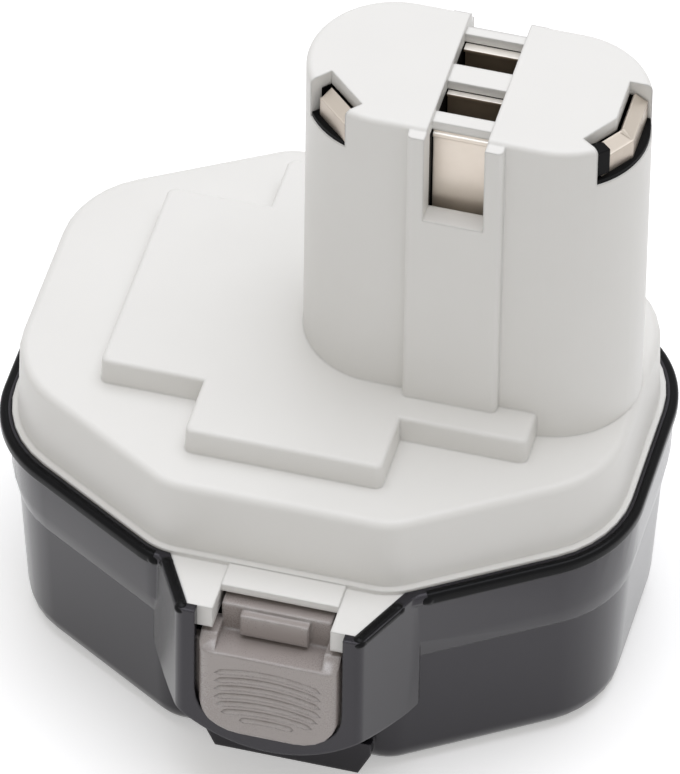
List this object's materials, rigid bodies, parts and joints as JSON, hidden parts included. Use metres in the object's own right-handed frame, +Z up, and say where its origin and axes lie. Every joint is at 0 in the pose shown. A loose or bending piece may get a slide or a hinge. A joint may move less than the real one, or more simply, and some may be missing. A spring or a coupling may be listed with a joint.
{
  "type": "power tool battery pack",
  "caption": "Stem-type power tool battery pack: light upper case with a round-ended contact stem, dark lower case and sprung release buttons at front and rear.",
  "frame": {"origin": "on the standing plane, under the middle of the base", "axes": "+Z up along the stem, +X towards the end the stem stands at, -Y towards the shown release button"},
  "size_m": [0.102, 0.105, 0.1146],
  "materials": {
    "upper_shell": "satin moulded plastic",
    "lower_shell": "satin moulded plastic",
    "button_grey": "satin moulded plastic",
    "spring_steel": "bright spring strip",
    "carrier_black": "matt",
    "contact_nickel": "nickel-plated sheet",
    "contact_bronze": "tarnished spring bronze",
    "link_nickel": "nickel strip",
    "card_paper": "insulating card",
    "cell_sleeve": "cell in a thin sleeve"
  },
  "bodies": {
    "case": {"upper_case": "upper_shell", "lower_case": "lower_shell", "latch_spring_front": "spring_steel", "latch_spring_rear": "spring_steel", "contact_carrier": "carrier_black", "thermal_switch": "carrier_black", "corner_contact_left": "contact_nickel", "corner_contact_right": "contact_nickel", "front_contact": "contact_nickel", "middle_contact": "contact_bronze", "rear_contact": "contact_bronze", "output_strap_left": "link_nickel", "output_strap_right": "link_nickel", "charge_lead_left": "link_nickel", "charge_lead_right": "link_nickel", "sensor_strip": "link_nickel", "sensor_lead": "link_nickel", "riser_link_left": "link_nickel", "riser_link_right": "link_nickel", "bottom_link_1": "link_nickel", "bottom_link_2": "link_nickel", "bottom_link_3": "link_nickel", "bottom_link_4": "link_nickel", "bottom_link_5": "link_nickel", "top_link_1": "link_nickel", "top_link_2": "link_nickel", "top_link_3": "link_nickel", "top_link_4": "link_nickel", "bottom_card": "card_paper", "top_card": "card_paper", "stem_card": "card_paper", "cell_01": "cell_sleeve", "cell_02": "cell_sleeve", "cell_03": "cell_sleeve", "cell_04": "cell_sleeve", "cell_05": "cell_sleeve", "cell_06": "cell_sleeve", "cell_07": "cell_sleeve", "cell_08": "cell_sleeve", "cell_09": "cell_sleeve", "cell_10": "cell_sleeve", "cell_11": "cell_sleeve", "cell_12": "cell_sleeve"},
    "button_front": {"latch_button_front": "button_grey"},
    "button_rear": {"latch_button_rear": "button_grey"}
  },
  "joints": [
    {"name": "front_press", "type": "slide", "parent": "case", "child": "button_front", "axis": [0, 1, 0], "range_m": [0, 0.0025], "stiffness_N_per_m": 2000, "deforming": ["latch_spring_front"]},
    {"name": "rear_press", "type": "slide", "parent": "case", "child": "button_rear", "axis": [0, -1, 0], "range_m": [0, 0.0025], "stiffness_N_per_m": 2000, "deforming": ["latch_spring_rear"]}
  ]
}
